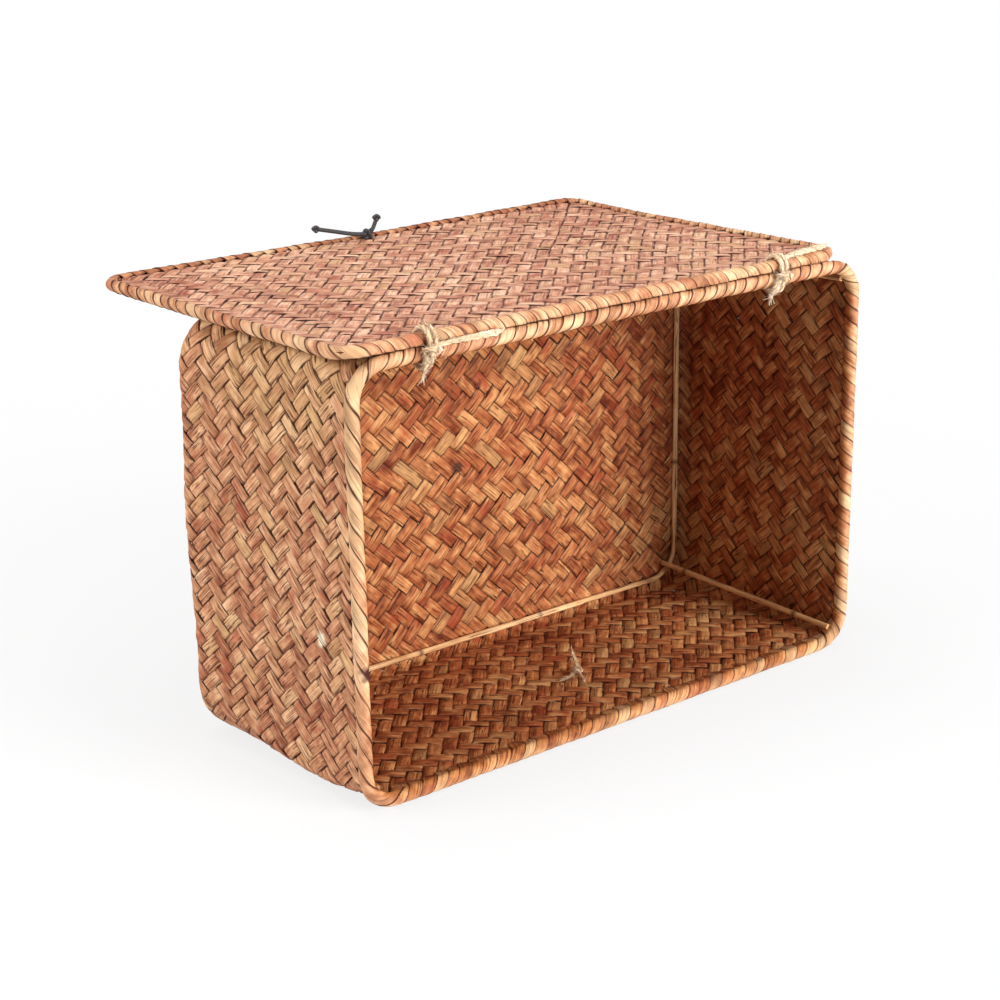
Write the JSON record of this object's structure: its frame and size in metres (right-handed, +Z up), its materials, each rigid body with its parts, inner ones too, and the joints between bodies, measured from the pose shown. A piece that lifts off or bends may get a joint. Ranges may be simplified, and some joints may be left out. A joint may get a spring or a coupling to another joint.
{
  "type": "woven lidded box",
  "caption": "Rectangular plaited seagrass storage box with a flat lid tied along its back rim, lying on its front wall with the lid folded back.",
  "frame": {"origin": "under the middle of the whole object's extents, on the surface it lies on", "axes": "+X along the box's length, +Y from the open mouth towards the box's own floor and the folded-back lid's front edge, +Z up; the box lies on its front wall"},
  "size_m": [0.3704, 0.246, 0.2555],
  "materials": {
    "seagrass_mat": "matte",
    "binding": "matte",
    "rod": "matte",
    "twine": "matte",
    "cord": "matte",
    "button": "satin"
  },
  "bodies": {
    "box": {"body_shell": "seagrass_mat", "rim_wrapping": "binding", "rim_hoop": "rod", "base_hoop": "rod", "corner_post_front_left": "rod", "corner_post_front_right": "rod", "corner_post_back_left": "rod", "corner_post_back_right": "rod", "closure_button": "button", "button_tie": "twine"},
    "hinge_ties": {"hinge_tie_left": "twine", "hinge_tie_right": "twine"},
    "lid": {"lid_mat": "seagrass_mat", "lid_wrapping": "binding", "lid_hoop": "rod", "closure_knot": "cord", "closure_loop": "cord"}
  },
  "joints": [
    {"name": "tie_swing", "type": "hinge", "parent": "box", "child": "hinge_ties", "pos_m": [-0.00475, -0.11227, 0.2355], "axis": [1, 0, 0], "range_deg": [0, 90.33]},
    {"name": "lid_turn", "type": "hinge", "parent": "hinge_ties", "child": "lid", "pos_m": [-0.00475, -0.11227, 0.24415], "axis": [1, 0, 0], "range_deg": [0, 180.66]}
  ]
}
